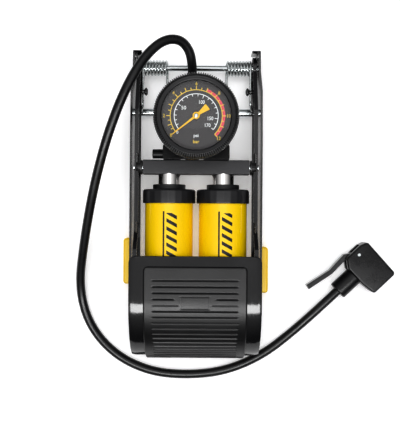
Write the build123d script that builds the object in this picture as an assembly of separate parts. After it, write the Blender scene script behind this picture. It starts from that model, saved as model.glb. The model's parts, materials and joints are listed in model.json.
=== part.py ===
from build123d import *
import math
import os

# Foot air pump: twin barrels, pedal arm on a folded steel base, gauge, hose and lever chuck.
# Frame: +X to the right, +Y towards the hinge end, +Z up, floor at Z = 0, millimetres.
# The model is drawn folded down, as the pump is stored.

os.makedirs("parts", exist_ok=True)

# ---- driving sizes -----------------------------------------------------------------
barrel_diameter = 45.6
barrel_wall = 2.0
barrel_length = 76.7          # the tube that shows below its cap
cap_wall = 2.2
cap_length = 13.1
cap_gap = 1.0                 # between the two caps
gland_diameter = 31.0
gland_flange = 4.7
gland_wall = 1.95
rod_diameter = 21.0
rod_show = 9.6                # chrome between crossbar and gland when folded
rod_bore = 5.0
piston_length = 10.0
crossbar_depth = 13.4
crossbar_height = 21.0
rail_depth = 3.8              # pressed rim of the arm rails
rail_thickness = 1.6
rail_height = 29.0
side_gap = 2.5                # between arm rail and base plate
plate_thickness = 2.0
plate_height = 44.0
plate_rear_height = 37.0
axle_diameter = 6.0
cross_rod_diameter = 8.0
spring_wire = 2.5
spring_turns = 7
pedal_thickness = 2.0
pedal_radius = 61.5
pedal_width = 122.0
pad_width = 95.0
pad_thickness = 2.5
gauge_diameter = 74.5
gauge_height = 28.0
hose_diameter = 8.5
barrel_to_pedal = 3.7         # air over the barrels when the pump is folded
weld_land = 6.5               # how far the pedal's edge reaches over the rail it is welded to
foot_length = 45.0
foot_slip = 8.0               # the right shoe sits this much nearer the pedal's lip

# ---- named clearances --------------------------------------------------------------
running = 0.05                # radial, shaft in hole
seat = 0.02                   # radial, pressed or screwed together in one body
rail_clearance = 3.5          # cap to arm rail
end_gap = 0.6                 # side play between neighbours

# ---- side to side ------------------------------------------------------------------
barrel_radius = barrel_diameter / 2
cap_radius = barrel_radius + cap_wall
barrel_x = cap_radius + cap_gap / 2
rail_inner = barrel_x + cap_radius + rail_clearance
rail_outer = rail_inner + rail_depth
plate_inner = rail_outer + side_gap
plate_outer = plate_inner + plate_thickness
hinge_plate_inner = rail_outer + 0.8
hinge_plate_outer = hinge_plate_inner + plate_thickness
crossbar_half = rail_inner - 4.0
foot_outer = plate_outer + 8.7

# ---- front to back -----------------------------------------------------------------
hinge_to_crossbar = 98.1
hinge_eye = 10.5              # radius of the arm rail's rounded end
hinge_z = 16.0
hinge_y = 134.7
crossbar_y = hinge_y - hinge_to_crossbar
crossbar_z = 34.0
crossbar_front = crossbar_y - crossbar_depth / 2
crossbar_rear = crossbar_y + crossbar_depth / 2
gland_rear = crossbar_front - rod_show
cap_rear = gland_rear - gland_flange
cap_front = cap_rear - cap_length
barrel_front = cap_front - barrel_length
end_flange = 4.0
end_boss = 7.0
pivot_y = barrel_front - end_flange - 3.0
rear_end = hinge_y + hinge_eye + 1.2 + plate_thickness
knob_y = hinge_y - 24.7
knob_z = hinge_z + 10.0
cross_rod_y = hinge_y - 42.3
cross_rod_z = cross_rod_diameter

# ---- pedal -------------------------------------------------------------------------
pedal_top = crossbar_z + barrel_radius + barrel_to_pedal + pedal_thickness
pedal_rear = -46.0
bend_y = pivot_y - 4.67
bend_z = pedal_top - pedal_radius
lip_angle = 11.7              # above level, where the pad ends
plate_lip_angle = 14.0

# ---- gauge and hose ----------------------------------------------------------------
gauge_y = crossbar_y + 42.1
gauge_bottom = 66.0
gauge_radius = gauge_diameter / 2
case_radius = gauge_radius - 2.2
window_radius = gauge_radius - 7.0
dial_z = gauge_bottom + gauge_height - 7.0
housing_rear = crossbar_rear + 13.7
housing_half = 30.6
housing_top = gauge_bottom - 6.0
housing_bottom = crossbar_z - crossbar_height / 2
union_x = -4.0
union_z = crossbar_z + 2.0
union_end = crossbar_rear + 14.5

# ---- chuck -------------------------------------------------------------------------
chuck_x = 139.5
chuck_y = -82.4
chuck_angle = 43.5
chuck_height = 21.0
collar_length = 21.8
collar_diameter = 18.2
lever_width = 8.6
lever_pivot = (39.0, -13.0)
lever_eye = 4.2
mouth_u = 38.0
chuck_bore = 11.0
valve_bore = 7.6              # tyre valve's thread, gripped by the seal


def block(x0, x1, y0, y1, z0, z1):
    centre = Pos((x0 + x1) / 2, (y0 + y1) / 2, (z0 + z1) / 2)
    return centre * Box(abs(x1 - x0), abs(y1 - y0), abs(z1 - z0))


def rod_x(radius, x0, x1, y, z):
    return Pos((x0 + x1) / 2, y, z) * Rot(0, 90, 0) * Cylinder(radius, abs(x1 - x0))


def rod_y(radius, y0, y1, x, z):
    return Pos(x, (y0 + y1) / 2, z) * Rot(90, 0, 0) * Cylinder(radius, abs(y1 - y0))


def rod_z(radius, z0, z1, x, y):
    return Pos(x, y, (z0 + z1) / 2) * Cylinder(radius, abs(z1 - z0))


def side_face(points, radius):
    """Rounded outline in the Y-Z plane."""
    face = make_face(Polyline(*points, close=True))
    return fillet(face.vertices(), radius)


def across(face, x0, x1):
    """Extrude a Y-Z outline from x0 to x1."""
    solid = extrude(Plane.YZ * face, amount=abs(x1 - x0))
    return Pos(min(x0, x1), 0, 0) * solid


def other_side(shape):
    return mirror(shape, about=Plane.YZ)


def save(node, *solids):
    shape = solids[0] if len(solids) == 1 else Compound(children=list(solids))
    export_step(shape, f"parts/{node}.step")


# ---- base: two side plates, tied by the axle, the cross rod and the barrel bracket ----
joggle_start = cross_rod_y + 16.6
joggle_end = hinge_y - 6.5
front_end = bend_y - 51.3
tab_inner = plate_outer - 9.8
foot_rear = crossbar_y - 68.1


def plate_strip():
    """Plan view of the right plate: level side, inward joggle, rear tab."""
    points = [
        (plate_inner, front_end),
        (plate_outer, front_end),
        (plate_outer, joggle_start),
        (hinge_plate_outer, joggle_end),
        (hinge_plate_outer, rear_end),
        (tab_inner, rear_end),
        (tab_inner, rear_end - plate_thickness),
        (hinge_plate_inner, rear_end - plate_thickness),
        (hinge_plate_inner, joggle_end),
        (plate_inner, joggle_start),
    ]
    return extrude(make_face(Polyline(*points, close=True)), amount=plate_height)


def base_plate(foot_y):
    outline = side_face(
        [
            (front_end, 0),
            (rear_end, 0),
            (rear_end, plate_rear_height),
            (crossbar_y + 25, plate_height),
            (bend_y - 12, plate_height),
            (bend_y - 38, plate_height - 7),
            (front_end, plate_height - 28),
        ],
        4.0,
    )
    plate = plate_strip() & across(outline, tab_inner - 1, plate_outer + 1)
    far = plate_outer + 1
    plate -= block(tab_inner - 1, hinge_plate_inner - 1, rear_end - 5, rear_end + 1, -1, 14)
    plate -= rod_x(axle_diameter / 2 + seat, 50, far, hinge_y, hinge_z)
    plate -= rod_x(cross_rod_diameter / 2 + seat, 50, far, cross_rod_y, cross_rod_z)
    plate -= rod_x(rivet_radius + seat, 50, far, rivet_y, rivet_z)
    plate -= block(50, far, foot_y - foot_length, foot_y, -1, foot_sole)
    return plate


rivet_radius = 2.0
rivet_y = pivot_y - 11.5
rivet_z = 9.0
rivet_head = 1.2
foot_sole = 3.0
foot_height = 14.0
foot_lip = 1.3
foot_play = 0.05


def foot(foot_y):
    """Clip-on shoe: a U that wraps the lower edge of a side plate."""
    inner = plate_inner - foot_play - foot_lip
    shoe = block(inner, foot_outer, foot_y - foot_length, foot_y, 0, foot_height)
    outer_edges = shoe.edges().filter_by(Axis.Z).sort_by(Axis.X)[-2:]
    shoe = fillet(outer_edges, 3.0)
    top_edge = shoe.faces().sort_by(Axis.Z)[-1].edges().sort_by(Axis.X)[-1]
    shoe = fillet(top_edge, 2.0)
    slot = block(
        plate_inner - foot_play,
        plate_outer + foot_play,
        foot_y - foot_length - 1,
        foot_y + 1,
        foot_sole,
        foot_height + 1,
    )
    lip_cut = block(inner - 1, plate_inner, foot_y - foot_length - 1, foot_y + 1, 8, foot_height + 1)
    return shoe - slot - lip_cut


foot_left_y = foot_rear
foot_right_y = foot_rear - foot_slip
save("base_plate_left", other_side(base_plate(foot_left_y)))
save("base_plate_right", base_plate(foot_right_y))
save("foot_left", other_side(foot(foot_left_y)))
save("foot_right", foot(foot_right_y))

axle_head = 1.5
axle = rod_x(axle_diameter / 2, -hinge_plate_outer, hinge_plate_outer, hinge_y, hinge_z)
for side in (-1, 1):
    x_head = side * hinge_plate_outer
    axle += rod_x(axle_diameter / 2 + 2, x_head, x_head + side * axle_head, hinge_y, hinge_z)
save("hinge_axle", axle)

cross_rod = rod_x(cross_rod_diameter / 2, -plate_outer, plate_outer, cross_rod_y, cross_rod_z)
save("cross_rod", cross_rod)

# Barrel bracket: a strap on the floor with two lugs that carry the barrels' pivot.
strap_thickness = 2.0
strap_front = rivet_y - 5.5
strap_rear = pivot_y + 10.0
flange_rear = foot_right_y - foot_length - 0.6
lug_inner = barrel_x + barrel_radius + 1.3
lug_thickness = 2.0
lug_reach = 8.5
pin_radius = 3.0


def bracket_lug():
    face = side_face(
        [
            (strap_front + 4, 0),
            (strap_rear, 0),
            (pivot_y + lug_reach, crossbar_z + lug_reach),
            (pivot_y - lug_reach, crossbar_z + lug_reach),
        ],
        1.5,
    )
    lug = across(face, lug_inner, lug_inner + lug_thickness)
    return lug - rod_x(pin_radius + 0.1, lug_inner - 1, lug_inner + 5, pivot_y, crossbar_z)


strap_half = plate_inner - foot_play - foot_lip - 0.3
bracket = block(-strap_half, strap_half, strap_front, strap_rear, 0, strap_thickness)
bracket += block(-plate_inner, plate_inner, strap_front, flange_rear, 0, strap_thickness)
flange_in = plate_inner - 1.5
flange = block(flange_in, plate_inner, strap_front, flange_rear, 0, rivet_z + 5)
flange -= rod_x(rivet_radius + seat, flange_in - 1, plate_inner + 1, rivet_y, rivet_z)
bracket += flange + other_side(flange) + bracket_lug() + other_side(bracket_lug())
save("barrel_bracket", bracket)

rivet = rod_x(rivet_radius, flange_in, plate_outer, rivet_y, rivet_z)
rivet += rod_x(rivet_radius * 2, plate_outer, plate_outer + rivet_head, rivet_y, rivet_z)
save("base_rivets", rivet, other_side(rivet))

# ---- arm: two pressed rails that carry the pedal ----
rail_low = crossbar_z - 17.0
rail_top = rail_low + rail_height
under_pedal = pedal_top - pedal_thickness
bush_radius = 5.0
bush_flange = 7.0
knob_stem = 1.8


def rail_outline():
    """Side view of a rail: hinge eye, straight channel, pedal support under the bend."""
    body = side_face(
        [
            (hinge_y - 4, hinge_z + hinge_eye),
            (hinge_y - 22, hinge_z + 18),
            (hinge_y - 44, rail_top - 2),
            (pedal_rear + 22, rail_top),
            (pedal_rear + 6, under_pedal),
            (bend_y - pedal_radius, under_pedal),
            (bend_y - pedal_radius, rail_low),
            (hinge_y - 34, rail_low),
            (hinge_y - 4, hinge_z - hinge_eye),
        ],
        1.8,
    )
    inside = Pos(bend_y, bend_z) * Circle(pedal_radius - pedal_thickness - 0.1)
    behind = Pos(bend_y + 200, 0) * Rectangle(400, 400)
    eye = Pos(hinge_y, hinge_z) * Circle(hinge_eye)
    return (body & (inside + behind)) + eye


def arm_rail():
    outline = rail_outline()
    rail = across(outline, rail_inner, rail_outer)
    web_face = rail_outer - rail_thickness
    pocket = offset(outline, amount=-rail_thickness)
    rail -= across(pocket, rail_inner - 1, web_face)
    for notch in (crossbar_y + 4.4, pivot_y + 57.5):
        rail -= block(rail_inner - 1, web_face, notch - 8.5, notch + 8.5, rail_top - 3, rail_top + 1)
    far = rail_outer + 1
    rail -= rod_x(axle_diameter / 2 + running, rail_inner - 1, far, hinge_y, hinge_z)
    rail -= rod_x(bush_radius + seat, rail_inner - 1, far, crossbar_y, crossbar_z)
    rail -= rod_x(knob_stem + seat, rail_inner - 1, far, knob_y, knob_z)
    tab_inner = pedal_width / 2 - weld_land
    if tab_inner < rail_inner:
        tab_low = under_pedal - rail_thickness
        rail += block(tab_inner, rail_inner + rail_thickness, bend_y, pedal_rear - 1, tab_low, under_pedal)
    return rail


save("arm_rail_left", other_side(arm_rail()))
save("arm_rail_right", arm_rail())


def curved_sheet(top, radius, thickness, half_width, rear, end_angle):
    """Flat sheet that bends down round the pedal's centre, as a Y-Z band across the pump."""
    end = math.radians(180 - end_angle)
    inner = radius - thickness
    tip_out = (bend_y + radius * math.cos(end), bend_z + radius * math.sin(end))
    tip_in = (bend_y + inner * math.cos(end), bend_z + inner * math.sin(end))
    edges = [
        Line((rear, top), (bend_y, top)),
        CenterArc((bend_y, bend_z), radius, 90, 90 - end_angle),
        Line(tip_out, tip_in),
        CenterArc((bend_y, bend_z), inner, 90, 90 - end_angle),
        Line((bend_y, top - thickness), (rear, top - thickness)),
        Line((rear, top - thickness), (rear, top)),
    ]
    return across(make_face(edges), -half_width, half_width)


pedal = curved_sheet(
    pedal_top, pedal_radius, pedal_thickness, pedal_width / 2, pedal_rear, plate_lip_angle
)
pedal_corners = pedal.faces().sort_by(Axis.Y)[-1].edges().filter_by(Axis.Z)
pedal = fillet(pedal_corners, 6.0)
save("pedal_plate", pedal)

pad_rear = pedal_rear - 11.0
pad = curved_sheet(
    pedal_top + pad_thickness,
    pedal_radius + pad_thickness,
    pad_thickness,
    pad_width / 2,
    pad_rear,
    lip_angle,
)
pad_corners = pad.faces().sort_by(Axis.Y)[-1].edges().filter_by(Axis.Z)
pad = fillet(pad_corners, 4.0)
groove_pitch = 5.9
groove_depth = 0.8
groove_width = 1.0
groove_half = 39.5
for row in range(6):
    groove_y = pad_rear - 11.0 - row * groove_pitch
    if groove_y > bend_y:
        pad -= block(
            -groove_half,
            groove_half,
            groove_y - groove_width / 2,
            groove_y + groove_width / 2,
            pedal_top + pad_thickness - groove_depth,
            pedal_top + pad_thickness + 1,
        )
save("pedal_pad", pad)

knob_head = 4.0
stem_end = rail_outer - rail_thickness - rail_depth - 2.4
knob = rod_x(knob_stem, stem_end, rail_outer, knob_y, knob_z)
head = rod_x(knob_head, stem_end - 3.2, stem_end, knob_y, knob_z)
head = fillet(head.edges().sort_by(Axis.X)[0], 2.4)
knob += head
save("spring_knobs", knob, other_side(knob))

bush = rod_x(bush_radius, rail_inner - 1.2, rail_outer, crossbar_y, crossbar_z)
bush += rod_x(bush_flange, rail_inner - 2.8, rail_inner - 1.2, crossbar_y, crossbar_z)
trunnion_radius = 3.0
bush -= rod_x(trunnion_radius + running, rail_inner - 4, rail_outer + 1, crossbar_y, crossbar_z)
save("pivot_bushes", bush, other_side(bush))

# Torsion springs round the axle: outer leg under the knob's stem, inner leg over the cross rod.
coil_radius = 6.5
coil_pitch = 3.06
leg_x = rail_inner - 2.0
inner_leg_x = leg_x - spring_turns * coil_pitch - coil_pitch / 2
leg_low = hinge_z - coil_radius


def torsion_spring():
    turns = spring_turns + 0.5
    helix = Helix(coil_pitch, turns * coil_pitch, coil_radius)
    start = helix @ 0
    coil = sweep(
        Plane(origin=start, z_dir=helix % 0) * Circle(spring_wire / 2),
        path=helix,
        is_frenet=True,
    )
    # The helix axis is laid along X; its first point goes to the top of the coil.
    coil = Plane(origin=(inner_leg_x, hinge_y, hinge_z), x_dir=(0, 0, -1), z_dir=(1, 0, 0)) * coil
    leg = rod_y(spring_wire / 2, knob_y - 18, hinge_y, leg_x, hinge_z + coil_radius)
    rest_z = cross_rod_z + cross_rod_diameter / 2 + spring_wire / 2 + 0.4
    low_start = Vector(inner_leg_x, hinge_y, leg_low)
    low_end = Vector(inner_leg_x, cross_rod_y - 12, rest_z + 1)
    low_leg = Plane(origin=low_start, z_dir=low_end - low_start) * Pos(
        0, 0, (low_end - low_start).length / 2
    ) * Cylinder(spring_wire / 2, (low_end - low_start).length)
    return coil + leg + low_leg


save("spring_right", torsion_spring())
save("spring_left", other_side(torsion_spring()))

# ---- manifold: crossbar, hollow rods with pistons, valve housing and gauge ----
spigot_radius = 7.0
spigot_end = crossbar_y - 2.6
gallery_radius = trunnion_radius
crossbar = block(
    -crossbar_half,
    crossbar_half,
    crossbar_front,
    crossbar_rear,
    crossbar_z - crossbar_height / 2,
    crossbar_z + crossbar_height / 2,
)
crossbar = fillet(crossbar.edges().filter_by(Axis.X), 1.0)
crossbar -= rod_x(gallery_radius + seat, -crossbar_half - 1, crossbar_half + 1, crossbar_y, crossbar_z)
crossbar -= rod_y(2.0, crossbar_y, crossbar_rear + 1, union_x, union_z)
for side in (-1, 1):
    crossbar -= rod_y(spigot_radius + seat, crossbar_front - 1, spigot_end, side * barrel_x, crossbar_z)
save("crossbar", crossbar)

trunnion_end = plate_inner - 1.0
trunnion = rod_x(trunnion_radius, crossbar_half - 10, trunnion_end, crossbar_y, crossbar_z)
save("trunnion_pins", trunnion, other_side(trunnion))

piston_front = barrel_front + 6.0 + 1.5
piston_rear = piston_front + piston_length
neck_radius = 6.0
bore_radius = barrel_radius - barrel_wall
piston_radius = bore_radius - 0.15
seal_groove = 2.0
seal_width = 3.0
ball_radius = 2.4


def piston_rod(x):
    rod = rod_y(rod_diameter / 2, piston_rear, crossbar_front, x, crossbar_z)
    rod += rod_y(spigot_radius, crossbar_front, spigot_end, x, crossbar_z)
    rod += rod_y(neck_radius, piston_front, piston_rear, x, crossbar_z)
    return rod - rod_y(rod_bore / 2, piston_front - 1, spigot_end + 1, x, crossbar_z)


def piston(x):
    middle = (piston_front + piston_rear) / 2
    body = rod_y(piston_radius, piston_front, piston_rear, x, crossbar_z)
    body -= rod_y(neck_radius + seat, piston_front - 1, piston_rear + 1, x, crossbar_z)
    ring = rod_y(piston_radius + 1, middle - seal_width / 2, middle + seal_width / 2, x, crossbar_z)
    ring -= rod_y(piston_radius - seal_groove, middle - 4, middle + 4, x, crossbar_z)
    return body - ring


def piston_seal(x):
    middle = (piston_front + piston_rear) / 2
    low = middle - seal_width / 2 + 0.1
    high = middle + seal_width / 2 - 0.1
    seal = rod_y(bore_radius - 0.05, low, high, x, crossbar_z)
    return seal - rod_y(piston_radius - seal_groove + 0.1, low - 1, high + 1, x, crossbar_z)


for name, x in (("left", -barrel_x), ("right", barrel_x)):
    save(f"piston_rod_{name}", piston_rod(x))
    save(f"piston_{name}", piston(x))
save("piston_seals", piston_seal(-barrel_x), piston_seal(barrel_x))
ball_y = spigot_end + ball_radius + 0.1
balls = [Pos(x, ball_y, crossbar_z) * Sphere(ball_radius) for x in (-barrel_x, barrel_x)]
save("check_balls", *balls)

tunnel_left = union_x - 11.0
tunnel_right = union_x + 11.0
tunnel_top = union_z + 14.0
housing = block(-housing_half, housing_half, crossbar_rear, housing_rear, housing_bottom, housing_top)
housing = fillet(housing.edges().filter_by(Axis.Z).sort_by(Axis.Y)[-2:], 3.0)
housing -= block(tunnel_left, tunnel_right, crossbar_rear - 1, housing_rear + 1, 0, tunnel_top)
plug_y = crossbar_rear + 6.5
plug_z = crossbar_z + 14.0
plug_radius = 4.35
housing -= rod_x(plug_radius - 1.5 + seat, -housing_half - 1, -housing_half + 8, plug_y, plug_z)
stem_radius = 6.0
stem_y = crossbar_rear + 6.8
housing -= rod_z(stem_radius - 2 + seat, housing_top - 8, housing_top + 1, 0, stem_y)
save("valve_housing", housing)

plug = rod_x(plug_radius - 1.5, -housing_half + 7.5, -housing_half, plug_y, plug_z)
plug += rod_x(plug_radius, -housing_half, -housing_half - 10, plug_y, plug_z)
save("side_plug", plug)

stem = rod_z(stem_radius - 2, housing_top - 7.5, gauge_bottom + 4, 0, stem_y)
stem += rod_z(stem_radius, housing_top, gauge_bottom, 0, stem_y)
save("gauge_stem", stem)

nut = Pos(union_x, (crossbar_rear + union_end) / 2 - 4, union_z) * Rot(90, 0, 0)
union = nut * extrude(RegularPolygon(6.5, 6), amount=(union_end - crossbar_rear) / 2 - 4, both=True)
union += rod_y(5.4, crossbar_rear + 6, union_end, union_x, union_z)
union -= rod_y(2.0, crossbar_rear - 1, union_end + 1, union_x, union_z)
save("hose_union", union)

case_wall = 2.0
case_top = dial_z - 0.6
case = rod_z(case_radius, gauge_bottom, case_top + 3.6, 0, gauge_y)
case -= rod_z(case_radius - case_wall, gauge_bottom + case_wall, case_top + 5, 0, gauge_y)
case -= rod_z(stem_radius - 2 + seat, gauge_bottom - 1, gauge_bottom + 5, 0, stem_y)
save("gauge_case", case)

bezel_low = gauge_bottom + gauge_height - 12.0
bezel_high = gauge_bottom + gauge_height
lens_low = dial_z + 4.0
lens_thickness = 1.4
bezel = rod_z(gauge_radius, bezel_low, bezel_high, 0, gauge_y)
bezel -= rod_z(case_radius + seat, bezel_low - 1, lens_low + lens_thickness, 0, gauge_y)
bezel -= rod_z(window_radius, bezel_low, bezel_high + 1, 0, gauge_y)
rim = bezel.edges().filter_by(GeomType.CIRCLE).group_by(Axis.Z)[-1]
bezel = chamfer(rim, 1.0)
save("gauge_bezel", bezel)
save("gauge_lens", rod_z(case_radius - 0.1, lens_low, lens_low + lens_thickness - 0.1, 0, gauge_y))

arbor_radius = 1.2
dial = rod_z(case_radius - case_wall - 0.1, dial_z - 1.0, dial_z, 0, gauge_y)
dial -= rod_z(arbor_radius + 0.3, dial_z - 3, dial_z + 1, 0, gauge_y)
save("gauge_dial", dial)

movement_top = dial_z - 5.0
movement = block(-9, 9, gauge_y - 7, gauge_y + 7, gauge_bottom + case_wall, movement_top)
movement -= rod_z(arbor_radius + running, movement_top - 6, movement_top + 1, 0, gauge_y)
save("gauge_movement", movement)

tube_radius = 21.0
bourdon_path = CenterArc((0, 0, 0), tube_radius, -70, 250)
section = Plane(origin=bourdon_path @ 0, z_dir=bourdon_path % 0) * Circle(2.2)
bourdon = sweep(section, path=bourdon_path)
save("bourdon_tube", Pos(0, gauge_y, gauge_bottom + 8) * bourdon)

needle_length = 27.5
needle_tail = 13.0
needle_low = dial_z + 1.4
needle_angle = 218.0
needle_face = make_face(
    Polyline(
        (needle_length, 0),
        (0, 1.5),
        (-needle_tail + 4, 1.6),
        (-needle_tail, 3.0),
        (-needle_tail, -3.0),
        (-needle_tail + 4, -1.6),
        (0, -1.5),
        close=True,
    )
)
needle = extrude(needle_face, amount=0.7)
needle = Pos(0, gauge_y, needle_low) * Rot(0, 0, needle_angle) * needle
needle += rod_z(3.2, needle_low, needle_low + 1.4, 0, gauge_y)
needle += rod_z(arbor_radius, movement_top - 5, needle_low, 0, gauge_y)
save("gauge_needle", needle)

# ---- barrels: tubes, caps, glands and end castings on one pivot pin ----
thread_end = cap_rear - 4.8
gland_bore = rod_diameter / 2 + running
gland_spigot = gland_bore + gland_wall


def barrel(x):
    tube = rod_y(barrel_radius, barrel_front, thread_end, x, crossbar_z)
    return tube - rod_y(bore_radius, barrel_front - 1, thread_end + 1, x, crossbar_z)


def cap(x):
    body = rod_y(cap_radius, cap_front, cap_rear, x, crossbar_z)
    rear_rim = body.edges().filter_by(GeomType.CIRCLE).sort_by(Axis.Y)[-1]
    body = fillet(rear_rim, 1.6)
    body -= rod_y(barrel_radius + seat, cap_front - 1, thread_end, x, crossbar_z)
    return body - rod_y(gland_spigot + seat, cap_front, cap_rear + 1, x, crossbar_z)


def gland(x):
    body = rod_y(gland_diameter / 2, cap_rear, gland_rear, x, crossbar_z)
    body += rod_y(gland_spigot, thread_end - 2.0, cap_rear, x, crossbar_z)
    return body - rod_y(gland_bore, thread_end - 3, gland_rear + 1, x, crossbar_z)


def barrel_end(x):
    """Casting that closes the tube and carries the lug of the barrels' pivot."""
    body = rod_y(barrel_radius, barrel_front - end_flange, barrel_front, x, crossbar_z)
    body += rod_y(bore_radius - seat, barrel_front, barrel_front + 6, x, crossbar_z)
    body += block(x - 6, x + 6, pivot_y, barrel_front - 1, crossbar_z - end_boss, crossbar_z + end_boss)
    body += rod_x(end_boss, x - 6, x + 6, pivot_y, crossbar_z)
    return body - rod_x(pin_radius + seat, x - 7, x + 7, pivot_y, crossbar_z)


for name, x in (("left", -barrel_x), ("right", barrel_x)):
    save(f"barrel_{name}", barrel(x))
    save(f"barrel_cap_{name}", cap(x))
    save(f"barrel_end_{name}", barrel_end(x))
save("rod_glands", gland(-barrel_x), gland(barrel_x))
pin_half = lug_inner - 0.7
save("barrel_pivot_pin", rod_x(pin_radius, -pin_half, pin_half, pivot_y, crossbar_z))

# ---- chuck frame: U along the hose, V out of the mouth, lying on its side ----
chuck_mid = chuck_height / 2
chuck_frame = Pos(chuck_x, chuck_y, chuck_height) * Rot(0, 0, chuck_angle) * Rot(180, 0, 0)


def placed(shape):
    return chuck_frame * shape


# ---- hose: a free cord from the union, up over the hinge, round the pump to the chuck ----
lead_in = 24.0                # straight run into the chuck's collar
lead_x = chuck_x - lead_in * math.cos(math.radians(chuck_angle))
lead_y = chuck_y - lead_in * math.sin(math.radians(chuck_angle))
hose_route = [
    (union_x, union_end, union_z),
    (-4, 72, union_z),
    (-4, 92, 40),
    (-4, 112, 47),
    (-4, 129, 55),
    (-6.5, 142, 63),
    (-15.5, 150, 71),
    (-30, 147.5, 77),
    (-45, 133, 81),
    (-58, 112, 82.5),
    (-70, 87, 79),
    (-83, 53, 70),
    (-96, 10, 53),
    (-107, -37, 31),
    (-115, -80, 9),
    (-106, -117.5, 4.4),
    (-81, -147, 4.4),
    (-46, -164, 4.4),
    (-8, -167.5, 4.4),
    (31, -163, 4.4),
    (67, -147, 4.4),
    (97, -123, 5.5),
    (lead_x, lead_y, chuck_mid),
    (chuck_x, chuck_y, chuck_mid),
]
hose_split = 99.5             # the stretch behind this moves with the manifold, the rest lies by the base
split_z = 81.0
split_lean = 10.0             # the parted faces lean, so the rear stretch lifts clear of the rest
rear_bend = -20.0             # left of this the split counts, right of it all is the rear stretch


def hose_tube(route):
    """Straight runs joined by tangent arcs, each arc as large as its two runs allow."""
    points = [Vector(*p) for p in route]
    radii = []
    for before, corner, after in zip(points, points[1:], points[2:]):
        turn = math.radians((corner - before).get_angle(after - corner))
        shorter = min((corner - before).length, (after - corner).length)
        radii.append(0.45 * shorter / math.tan(turn / 2))
    path = FilletPolyline(*points, radius=radii)
    section = Plane(origin=path @ 0, z_dir=path % 0) * Circle(hose_diameter / 2)
    tube = sweep(section, path=path)
    print("hose length", round(path.length, 1), "radii", [round(r) for r in radii])
    print("hose volume ratio", round(tube.volume / (section.area * path.length), 4))
    return tube


tube = hose_tube(hose_route)
rear_space = block(rear_bend, 60, union_end - 1, rear_end + 60, 0, 140)
left_side = block(rear_bend - 70, rear_bend, 0, rear_end - 30, -50, 50)
rear_space += Pos(0, hose_split, split_z) * Rot(split_lean, 0, 0) * left_side
save("hose_rear", tube & rear_space)
save("hose", tube - rear_space)

# ---- chuck: collar, body, mouth cap, seal, plunger and thumb lever ----
collar = rod_x(collar_diameter / 2, 0, collar_length, 0, chuck_mid)
collar = fillet(collar.edges().sort_by(Axis.X)[0], 1.5)
save("chuck_collar", placed(collar))

body_points = [
    (53.5, -16.5),
    (52.5, 24.5),
    (24.0, 24.5),
    (collar_length, 11.0),
    (collar_length, -10.0),
    (28.0, -19.0),
    (46.0, -19.0),
]
outline = make_face(Polyline(*body_points, close=True))
outline = fillet(outline.vertices(), 3.0)
chuck_body = extrude(outline, amount=chuck_height)
flat_rims = chuck_body.faces().filter_by(Axis.Z).edges()
chuck_body = fillet(flat_rims, 2.0)
slot_half = lever_width / 2 + 0.2
chuck_body -= block(10, 46.5, -30, -7.5, chuck_mid - slot_half, chuck_mid + slot_half)
pivot_u, pivot_v = lever_pivot
chuck_body -= rod_z(1.5 + seat, -1, chuck_height + 1, pivot_u, pivot_v)
chuck_body -= rod_y(chuck_bore / 2, -9, 30, mouth_u, chuck_mid)
mouth_cap_radius = 7.6
mouth_cap_low = 20.0
chuck_body -= rod_y(mouth_cap_radius + seat, mouth_cap_low, 30, mouth_u, chuck_mid)
save("chuck_body", placed(chuck_body))

chuck_cap = rod_y(mouth_cap_radius, mouth_cap_low, 24.5, mouth_u, chuck_mid)
chuck_cap -= rod_y(valve_bore / 2 + 0.3, 19, 26, mouth_u, chuck_mid)
save("chuck_cap", placed(chuck_cap))

seal = rod_y(chuck_bore / 2 - 0.1, 12.5, mouth_cap_low - 0.1, mouth_u, chuck_mid)
seal -= rod_y(valve_bore / 2, 11, 21, mouth_u, chuck_mid)
save("chuck_seal", placed(seal))

plunger_travel = 2.0
plunger = rod_y(chuck_bore / 2 - running, -6.5, 12.3 - plunger_travel, mouth_u, chuck_mid)
save("chuck_plunger", placed(plunger))

save("lever_pin", placed(rod_z(1.5, 0.6, chuck_height - 0.6, pivot_u, pivot_v)))

lever_face = make_face(
    Polyline(
        (pivot_u - 1, pivot_v - lever_eye + 0.3),
        (pivot_u - 10, -22.6),
        (8.0, -21.0),
        (-18.5, -25.8),
        (-19.5, -21.0),
        (8.0, -16.4),
        (pivot_u - 13, -17.4),
        (pivot_u - 3.4, pivot_v + 2.4),
        close=True,
    )
)
lever = extrude(lever_face, amount=lever_width)
lever += rod_z(lever_eye, 0, lever_width, pivot_u, pivot_v)
lever = Pos(0, 0, chuck_mid - lever_width / 2) * lever
lever -= rod_z(1.5 + running, -1, chuck_height + 1, pivot_u, pivot_v)
save("chuck_lever", placed(lever))
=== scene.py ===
import json
import math

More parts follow.
